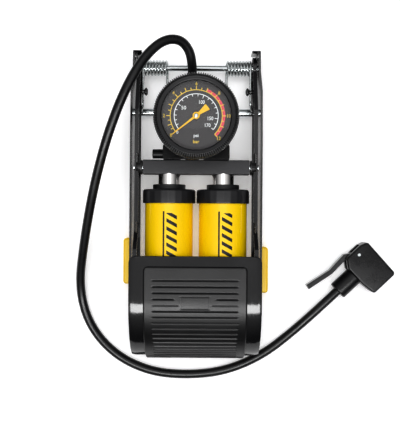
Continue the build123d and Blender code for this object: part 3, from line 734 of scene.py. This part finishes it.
# Valve housing: a moulded black block on the crossbar's hinge side with a plug at its left,
# a brass stem up to the gauge and the hose's brass union at the back.

moulded_black = finish(
    "moulded_black", (0.002, 0.002, 0.0025), (0.005, 0.005, 0.006), (0.24, 0.4), patch_scale=80.0,
    grain_scale=1400.0, grain_depth=0.2, specular=0.2,
)
block = broken_edges("moulded_housing", "valve_housing", 1.0, 3)
dress(block, moulded_black)
plug_middle, plug_size = node_middle("side_plug")
plug_half, plug_r = plug_size[0] / 2, plug_size[2] / 2
plug_outline = eased([(0, -plug_half), (plug_r, -plug_half), (plug_r, plug_half), (0, plug_half)], 0.7)
plug_middle = plug_middle - (0, 1.5, 0)
plug = turned("plug_screw", plug_outline, plug_middle, "X", 48)
fit(plug, moulded_black, "manifold", "black_plastic", "side_plug")
turned_brass = finish(
    "turned_brass", (0.7, 0.52, 0.24), (0.5, 0.34, 0.14), (0.18, 0.35), patch_scale=200.0,
    metallic=1.0, stretch=(1, 1, 0.1),
)
for node in ("gauge_stem", "hose_union", "gauge_movement", "bourdon_tube"):
    dress(frame["nodes"][node], turned_brass)

# Gauge: a moulded case on the stem, a screwed bezel with a finely ribbed rim, a printed dial,
# a pressed needle and a clear lens.

case = broken_edges("moulded_case", "gauge_case", 0.8, 3)
dress(case, moulded_black)

bezel_middle, bezel_size = node_middle("gauge_bezel")
bezel_low = bezel_middle[2] - bezel_size[2] / 2
bezel_top = bezel_middle[2] + bezel_size[2] / 2
bezel_r = bezel_size[0] / 2
window_r = 30.25
rib_count = 116
bezel_outline = eased(
    [
        (34.8, bezel_low), (bezel_r, bezel_low), (bezel_r + 0.6, bezel_low + 0.8),
        (bezel_r + 0.6, bezel_top - 3.4), (bezel_r - 0.6, bezel_top - 1.6), (34.0, bezel_top),
        (33.2, bezel_top - 0.2), (window_r + 0.7, bezel_top - 0.5), (window_r, bezel_top - 1.2),
        (window_r, bezel_top - 1.7), (34.8, bezel_top - 2.6), (34.8, bezel_low),
    ],
    0.5, 3,
)


def bezel_ribs(angle, radius, height):
    """Radius factor 1 - 0.05 m g: m rises over the outer rim, g = 1 in the groove between ribs."""
    outer = np.clip((radius - 34.2) / 1.2, 0, 1) * (height > bezel_low + 1.5)
    groove = 1 / (1 + np.exp(-8 * (-0.1 - np.cos(rib_count * angle))))
    return 1 - 0.05 * outer * groove


bezel_plastic = finish(
    "bezel_plastic", (0.009, 0.009, 0.0105), (0.016, 0.016, 0.019), (0.3, 0.45), patch_scale=70.0,
    grain_scale=1300.0, grain_depth=0.25, specular=0.4,
)
bezel_centre = (bezel_middle[0], bezel_middle[1], 0)
bezel = turned("ribbed_bezel", bezel_outline, bezel_centre, "Z", rib_count * 10, bezel_ribs)
corners = np.empty(len(bezel.data.vertices) * 3, np.float32)
bezel.data.vertices.foreach_get("co", corners)
corners = corners.reshape(-1, 3) / MM - bezel_centre
reach = np.hypot(corners[:, 0], corners[:, 1])
# Painted highlight and painted shade on the bezel: the specular level is raised along the ridges of the
# ribbed rim and taken to nothing in the grooves, in place of light catching the ribs and shade falling
# between them.
grooved = (1 - bezel_ribs(np.arctan2(corners[:, 1], corners[:, 0]), reach, corners[:, 2])) / 0.05
rim = np.clip((reach - 34.2) / 1.2, 0, 1)
ridge_highlight_groove_shade = bezel.data.attributes.new("ridge_highlight_groove_shade", "FLOAT", "POINT")
ridge_highlight_groove_shade.data.foreach_set("value", (0.36 + 1.5 * rim - 1.86 * grooved).clip(0, 2).astype(np.float32))
painted_gloss_node = bezel_plastic.node_tree.nodes.new("ShaderNodeAttribute")
painted_gloss_node.attribute_name = "ridge_highlight_groove_shade"
bezel_shader = bezel_plastic.node_tree.nodes["Principled BSDF"]
bezel_plastic.node_tree.links.new(painted_gloss_node.outputs["Fac"], bezel_shader.inputs["Specular IOR Level"])
fit(bezel, bezel_plastic, "manifold", "bezel_plastic", "gauge_bezel")

dial_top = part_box("gauge_dial")[1].z / MM
dial_grey = finish(
    "dial_grey", (0.042, 0.035, 0.038), (0.058, 0.049, 0.053), (0.45, 0.6), patch_amount=0.3,
    patch_scale=30.0, grain_scale=2500.0, grain_depth=0.05,
)
dress(frame["nodes"]["gauge_dial"], dial_grey)

PRINT = 0.06


def bar_angle(bar):
    """Angle in radians from +X: 180 degrees at 2 bar, 22.5 a bar above that and 19 a bar below."""
    above = np.asarray(bar, float) - 2.0
    return np.radians(180.0 - np.where(above < 0, 19.0, 22.5) * above)


def inked_arc(inner, outer, first, last, steps=160):
    """Points and quads of a thin ring sector between two pressures, closed all round."""
    angle = bar_angle(np.linspace(first, last, steps))
    section = [(inner, 0.0), (outer, 0.0), (outer, PRINT), (inner, PRINT)]
    rows = [np.stack([r * np.cos(angle), r * np.sin(angle), 0 * angle + z], -1) for r, z in section]
    points = np.stack(rows, 1).reshape(-1, 3)
    faces = grid_faces(steps, 4, False, True).tolist()
    faces += [[0, 1, 2, 3], [4 * steps - 1, 4 * steps - 2, 4 * steps - 3, 4 * steps - 4]]
    return points, faces


def inked_tick(pressure, inner, outer, width):
    """A thin bar along the radius at a pressure."""
    angle = float(bar_angle(pressure))
    along = np.array([math.cos(angle), math.sin(angle), 0])
    aside = np.array([-math.sin(angle), math.cos(angle), 0]) * width / 2
    lift = np.array([0, 0, PRINT])
    base = [along * inner - aside, along * outer - aside, along * outer + aside, along * inner + aside]
    points = np.array(base + [p + lift for p in base])
    faces = [[3, 2, 1, 0], [4, 5, 6, 7], [0, 1, 5, 4], [1, 2, 6, 5], [2, 3, 7, 6], [3, 0, 4, 7]]
    return points, faces


def lettered(text, size, centre, squeeze=1.0):
    """Points and faces of raised lettering centred on a point of the dial."""
    curve = bpy.data.curves.new("lettering", "FONT")
    curve.body = text
    curve.size = size
    curve.extrude = PRINT / 2
    curve.align_x = "CENTER"
    curve.resolution_u = 3
    curve.offset = 0.06
    holder = bpy.data.objects.new("lettering", curve)
    bpy.context.scene.collection.objects.link(holder)
    bpy.context.view_layer.update()
    mesh = bpy.data.meshes.new_from_object(holder)
    points = np.empty(len(mesh.vertices) * 3)
    mesh.vertices.foreach_get("co", points)
    points = points.reshape(-1, 3) * (squeeze, 1, 1)
    points += np.array([centre[0], centre[1] - size * 0.34, PRINT / 2])
    faces = [list(p.vertices) for p in mesh.polygons]
    bpy.data.objects.remove(holder)
    bpy.data.meshes.remove(mesh)
    return points, faces


def printed(name, marks, colour):
    """Join marks into one mesh that lies on the dial."""
    points, faces, count = [], [], 0
    for mark_points, mark_faces in marks:
        points.append(mark_points)
        faces += [[v + count for v in face] for face in mark_faces]
        count += len(mark_points)
    points = np.vstack(points) + (bezel_middle[0], bezel_middle[1], dial_top + 0.005)
    ink = lay_mesh(name, points * MM, faces, 30)
    material = finish(name, colour, tuple(0.8 * c for c in colour), (0.4, 0.6), patch_scale=300.0)
    fit(ink, material, "manifold", "dial")
    return ink


def around(pressure, radius):
    angle = float(bar_angle(pressure))
    return radius * math.cos(angle), radius * math.sin(angle)


PSI_PER_BAR = 14.5038
yellow_marks = [inked_arc(22.45, 23.15, 0, 12)]
yellow_marks += [inked_tick(p, 22.8, 25.0 if p % 1 else 26.2, 0.75) for p in np.arange(0, 12.25, 0.5)]
yellow_marks += [
    lettered(str(n), 4.2, around(n, 28.3 if n not in (0, 12) else 27.8), 0.95) for n in range(0, 13, 2)
]
yellow_marks += [lettered("bar", 4.2, (0, -22.6))]
printed("yellow_print", yellow_marks, (0.95, 0.66, 0.06))
white_marks = [inked_arc(18.9, 19.65, 0, 170 / PSI_PER_BAR)]
white_marks += [
    inked_tick(p / PSI_PER_BAR, 17.2 if p % 50 else 16.3, 19.3, 0.65) for p in [*range(0, 171, 10)]
]
white_marks += [
    lettered("50", 4.5, (-11.0, 7.0)), lettered("100", 4.5, (4.6, 12.0), 0.85),
    lettered("150", 4.5, (12.2, -2.2), 0.85), lettered("170", 4.5, (9.8, -8.2), 0.85),
    lettered("0", 3.6, (-16.4, -14.6)), lettered("psi", 4.2, (0, -17.2)),
]
printed("white_print", white_marks, (0.95, 0.95, 0.96))
red_edges = np.linspace(7.0, 12.0, 11)
red_marks = [inked_arc(23.2, 25.5, a + 0.035, b - 0.035, 12) for a, b in zip(red_edges, red_edges[1:])]
printed("red_print", red_marks, (0.85, 0.08, 0.13))

needle_turn = float(bar_angle(0))
needle_height = 88.2
needle_shape = np.array(
    [
        (28.4, 0.15), (26.5, 0.3), (3.0, 1.0), (2.4, 2.0), (1.0, 2.9), (-1.0, 2.9), (-2.6, 2.0), (-3.6, 1.3),
        (-8.0, 2.2), (-12.4, 3.1), (-12.7, 2.4), (-12.9, 0.0),
    ]
)
needle_ring = np.vstack([needle_shape, (needle_shape * (1, -1))[-2::-1]])
turn_cos, turn_sin = math.cos(needle_turn), math.sin(needle_turn)
flat_ring = needle_ring @ np.array([[turn_cos, turn_sin], [-turn_sin, turn_cos]]) + bezel_middle[:2]
count = len(flat_ring)
needle_points = np.vstack(
    [np.c_[flat_ring, np.full(count, needle_height)], np.c_[flat_ring, np.full(count, needle_height + 0.5)]]
)
needle_faces = [list(range(count))[::-1], list(range(count, 2 * count))]
needle_faces += [[i, (i + 1) % count, (i + 1) % count + count, i + count] for i in range(count)]
needle = lay_mesh("pressed_needle", needle_points * MM, needle_faces, 30)
needle_enamel = finish(
    "needle_enamel", (0.98, 0.58, 0.004), (0.92, 0.5, 0.004), (0.3, 0.45), patch_scale=250.0,
)
fit(needle, needle_enamel, "needle", "needle_paint", "gauge_needle")
hub_outline = eased([(0, 87.4), (3.2, 87.4), (3.2, 89.3), (2.2, 89.6), (0, 89.6)], 0.4)
hub = turned("needle_hub", hub_outline, bezel_centre, "Z", 40)
fit(hub, needle_enamel, "needle", "needle_paint")
boss_outline = eased([(0, 89.5), (1.9, 89.5), (1.9, 89.9), (1.3, 90.2), (0, 90.3)], 0.2)
boss = turned("needle_boss", boss_outline, bezel_centre, "Z", 32)
fit(boss, zinc, "needle", "needle_paint")

lens_glass = bpy.data.materials.new("lens_glass")
lens_glass.use_nodes = True
nodes, links = lens_glass.node_tree.nodes, lens_glass.node_tree.links
smudge = nodes.new("ShaderNodeTexNoise")
smudge.inputs["Scale"].default_value = 120.0
smudge_range = nodes.new("ShaderNodeMapRange")
smudge_range.inputs["To Min"].default_value = 0.02
smudge_range.inputs["To Max"].default_value = 0.08
place = nodes.new("ShaderNodeTexCoord")
clear = nodes.new("ShaderNodeBsdfTransparent")
clear.inputs["Color"].default_value = (0.97, 0.98, 0.98, 1)
share = nodes.new("ShaderNodeFresnel")
share.inputs["IOR"].default_value = 1.5
mirror = nodes.new("ShaderNodeBsdfGlossy")
mix = nodes.new("ShaderNodeMixShader")
links.new(place.outputs["Object"], smudge.inputs["Vector"])
links.new(smudge.outputs["Fac"], smudge_range.inputs["Value"])
links.new(smudge_range.outputs["Result"], mirror.inputs["Roughness"])
side = nodes.new("ShaderNodeNewGeometry")
outside = nodes.new("ShaderNodeMath")
outside.operation = "SUBTRACT"
outside.inputs[0].default_value = 1.0
outer_share = nodes.new("ShaderNodeMath")
outer_share.operation = "MULTIPLY"
links.new(side.outputs["Backfacing"], outside.inputs[1])
links.new(share.outputs["Fac"], outer_share.inputs[0])
links.new(outside.outputs["Value"], outer_share.inputs[1])
links.new(outer_share.outputs["Value"], mix.inputs["Fac"])
links.new(clear.outputs["BSDF"], mix.inputs[1])
links.new(mirror.outputs["BSDF"], mix.inputs[2])
links.new(mix.outputs["Shader"], nodes["Material Output"].inputs["Surface"])
nodes.remove(nodes["Principled BSDF"])
lens_middle, lens_size = node_middle("gauge_lens")
lens_half, lens_r = lens_size[2] / 2, lens_size[0] / 2
lens_outline = eased([(0, -lens_half), (lens_r, -lens_half), (lens_r, lens_half), (0, lens_half)], 0.3)
lens = turned("clear_lens", lens_outline, lens_middle, "Z", 96)
fit(lens, lens_glass, "manifold", "glass", "gauge_lens")

# Barrels: drawn steel tube in gloss yellow, with a black printed bar and slanted blocks
# along the top. A black cap, a gland and an alloy end close each one.


def barrel_paint_for(centre_x):
    """Gloss yellow with black print on its upper half: a bar and slanted blocks beside it.

    A block is printed where the fraction of (y + 0.55 x) / pitch is below 0.46."""
    material = finish(
        "barrel_paint", (0.97, 0.66, 0.0), (0.93, 0.61, 0.0), (0.14, 0.26), patch_amount=0.2,
        patch_scale=30.0, grain_scale=500.0, grain_depth=0.06,
    )
    nodes, links = material.node_tree.nodes, material.node_tree.links
    place = next(n for n in nodes if n.type == "TEX_COORD")
    shader = nodes["Principled BSDF"]
    parts = nodes.new("ShaderNodeSeparateXYZ")
    links.new(place.outputs["Object"], parts.inputs["Vector"])

    def value(operation, first, second=0.0):
        step = nodes.new("ShaderNodeMath")
        step.operation = operation
        for socket, item in zip(step.inputs, (first, second)):
            if isinstance(item, float):
                socket.default_value = item
            else:
                links.new(item, socket)
        return step.outputs["Value"]

    def band(source, low, high):
        above = value("GREATER_THAN", source, low * MM)
        return value("MULTIPLY", above, value("LESS_THAN", source, high * MM))

    x, y, z = parts.outputs
    bar_left, bar_right = centre_x - 4.8, centre_x - 3.3
    block_left, block_right = centre_x - 1.4, centre_x + 8.2
    print_front, bar_rear, block_rear = -60.0, -5.0, -6.5
    block_pitch = 7.4
    barrel_axis_height = 34.0
    line = value("MULTIPLY", band(x, bar_left, bar_right), band(y, print_front, bar_rear))
    slant = value("ADD", y, value("MULTIPLY", x, 0.55))
    wave = value("FRACT", value("DIVIDE", slant, block_pitch * MM))
    blocks = value("MULTIPLY", value("LESS_THAN", wave, 0.46), band(x, block_left, block_right))
    blocks = value("MULTIPLY", blocks, band(y, print_front, block_rear))
    upper = value("GREATER_THAN", z, barrel_axis_height * MM)
    ink = value("MULTIPLY", value("MAXIMUM", line, blocks), upper)
    printed_colour = nodes.new("ShaderNodeMix")
    printed_colour.data_type = "RGBA"
    printed_colour.inputs[7].default_value = (0.012, 0.01, 0.008, 1)
    links.new(ink, printed_colour.inputs[0])
    links.new(nodes["finish"].outputs["Color"], printed_colour.inputs[6])
    links.new(printed_colour.outputs[2], shader.inputs["Base Color"])
    return material


cap_plastic = finish(
    "cap_plastic", (0.012, 0.012, 0.014), (0.022, 0.022, 0.025), (0.3, 0.45), patch_scale=60.0,
    grain_scale=1200.0, grain_depth=0.2,
)
flat_count = 24
cap_bore = 22.9
gland_hole = 15.4
cap_face = 3.0


def cap_flats(angle, radius, height):
    """Radius factor cos(h) / cos(b) over each flat, b from -h to h, on the cap's outer wall only."""
    half = np.pi / flat_count
    b = np.mod(angle, 2 * half) - half
    mask = np.clip((radius - 23.0) / 0.5, 0, 1)
    return 1 + mask * (np.cos(half) / np.cos(b) - 1)


for side in ("left", "right"):
    middle, size = node_middle(f"barrel_{side}")
    half, r = size[1] / 2, size[0] / 2
    bore = r - 1.5
    outline = eased([(bore, -half), (r, -half), (r, half), (bore, half), (bore, -half)], 0.5)
    drum = turned(f"painted_barrel_{side}", outline, middle, "Y", 128)
    fit(drum, barrel_paint_for(float(middle[0])), "barrels", "barrel_paint", f"barrel_{side}")
    cap_middle, cap_size = node_middle(f"barrel_cap_{side}")
    half, r = cap_size[1] / 2, cap_size[0] / 2
    outline = eased(
        [
            (cap_bore, -half), (r - 0.3, -half), (r, 0.6 - half), (r, half - 1.5), (r - 1.0, half),
            (gland_hole, half), (gland_hole, half - cap_face), (cap_bore, half - cap_face),
            (cap_bore, -half),
        ],
        0.6, 3,
    )
    cap = turned(f"moulded_cap_{side}", outline, cap_middle, "Y", flat_count * 8, cap_flats, 24)
    fit(cap, cap_plastic, "barrels", "black_plastic", f"barrel_cap_{side}")
glands = broken_edges("moulded_glands", "rod_glands", 0.6, 3)
dress(glands, cap_plastic)
for node in ("barrel_end_left", "barrel_end_right"):
    dress(frame["nodes"][node], cast_alloy)
dress(frame["nodes"]["barrel_pivot_pin"], zinc)

# Hose sleeve: a tapered rubber strain relief over the hose where it leaves the housing's
# union, bending with the hose.

hose_radius = 4.25
hose_route = np.array(
    [
        (-4, 57.8, 36), (-4, 72, 36), (-4, 92, 40), (-4, 112, 47), (-4, 129, 55), (-6.5, 142, 63),
        (-15.5, 150, 71), (-30, 147.5, 77), (-45, 133, 81), (-58, 112, 82.5), (-70, 87, 79),
        (-83, 53, 70), (-96, 10, 53), (-107, -37, 31), (-115, -80, 9), (-106, -117.5, 4.4),
        (-81, -147, 4.4), (-46, -164, 4.4), (-8, -167.5, 4.4), (31, -163, 4.4), (67, -147, 4.4),
        (97, -123, 5.5), (122.09, -98.92, 10.5), (139.5, -82.4, 10.5),
    ],
    float,
)


def spline_through(route, name):
    """Points along a quadratic NURBS that starts and ends on the route's ends, in mm."""
    curve = bpy.data.curves.new(name, "CURVE")
    curve.dimensions = "3D"
    curve.resolution_u = 24
    line = curve.splines.new("NURBS")
    line.points.add(len(route) - 1)
    line.points.foreach_set("co", np.c_[route * MM, np.ones(len(route))].ravel())
    line.order_u = 3
    line.use_endpoint_u = True
    holder = bpy.data.objects.new(name, curve)
    bpy.context.scene.collection.objects.link(holder)
    bpy.context.view_layer.update()
    mesh = bpy.data.meshes.new_from_object(holder)
    points = np.empty(len(mesh.vertices) * 3)
    mesh.vertices.foreach_get("co", points)
    bpy.data.objects.remove(holder)
    bpy.data.meshes.remove(mesh)
    return points.reshape(-1, 3) / MM


hose_line = spline_through(hose_route, "hose_centre_line")
steps = np.r_[0, np.cumsum(np.linalg.norm(np.diff(hose_line, axis=0), axis=1))]
even = np.linspace(0, steps[-1], 520)
hose_line = np.stack([np.interp(even, steps, hose_line[:, k]) for k in range(3)], -1)
hose_rubber = finish(
    "hose_rubber", (0.005, 0.005, 0.006), (0.014, 0.014, 0.015), (0.25, 0.42), patch_amount=0.3,
    patch_scale=45.0, grain_scale=900.0, grain_depth=0.15, specular=0.36,
)
sleeve_end = 36.0
sleeve_cover = 12.0
rib_spacing = 4.5
sleeve_line = hose_line[even < sleeve_end]
sleeve_along = even[even < sleeve_end]
sleeve_radius = 6.4 - 1.5 * np.clip(sleeve_along / sleeve_end, 0, 1)
sleeve_radius += 0.25 * (np.cos(sleeve_along * 2 * np.pi / rib_spacing) > 0.2) * (sleeve_along > 6)
sleeve = drawn_wire("hose_sleeve", sleeve_line, sleeve_radius, 32, round_ends=False)
dress(sleeve, hose_rubber)
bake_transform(sleeve)

# Hose: 8.5 mm black rubber, up over the hinge, down the left side, round the front and into
# the chuck. It starts inside its sleeve and lies on the floor round the front.

free = even >= sleeve_end - sleeve_cover
free_line = hose_line[free]
hose_sides = 28
hose = drawn_wire("air_hose", free_line, hose_radius, hose_sides, round_ends=False)
dress(hose, hose_rubber)
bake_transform(hose)
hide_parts("hose", "hose_rear")

# Chuck: a moulded two-part head with a collar on the hose, a screwed mouth cap over the
# rubber seal, and a thumb lever that closes the seal on the valve.

chuck_plastic = finish(
    "chuck_plastic", (0.004, 0.004, 0.005), (0.01, 0.01, 0.011), (0.2, 0.38), patch_scale=75.0,
    grain_scale=1300.0, grain_depth=0.25, specular=0.3,
)
head = broken_edges("moulded_head", "chuck_body", 1.2, 3)
dress(head, chuck_plastic)
collar = broken_edges("moulded_collar", "chuck_collar", 0.5, 3)
dress(collar, chuck_plastic)
mouth = broken_edges("mouth_cap", "chuck_cap", 0.5, 3)
dress(mouth, chuck_plastic)
dress(frame["nodes"]["chuck_seal"], seal_finish)
dress(frame["nodes"]["chuck_plunger"], chuck_plastic)
dress(frame["nodes"]["lever_pin"], zinc)
lever_plastic = finish(
    "lever_plastic", (0.006, 0.006, 0.007), (0.015, 0.015, 0.016), (0.1, 0.25), patch_scale=75.0,
    grain_scale=1300.0, grain_depth=0.15, coat=0.3,
)
lever = broken_edges("thumb_lever", "chuck_lever", 1.0, 3)
dress(lever, lever_plastic)
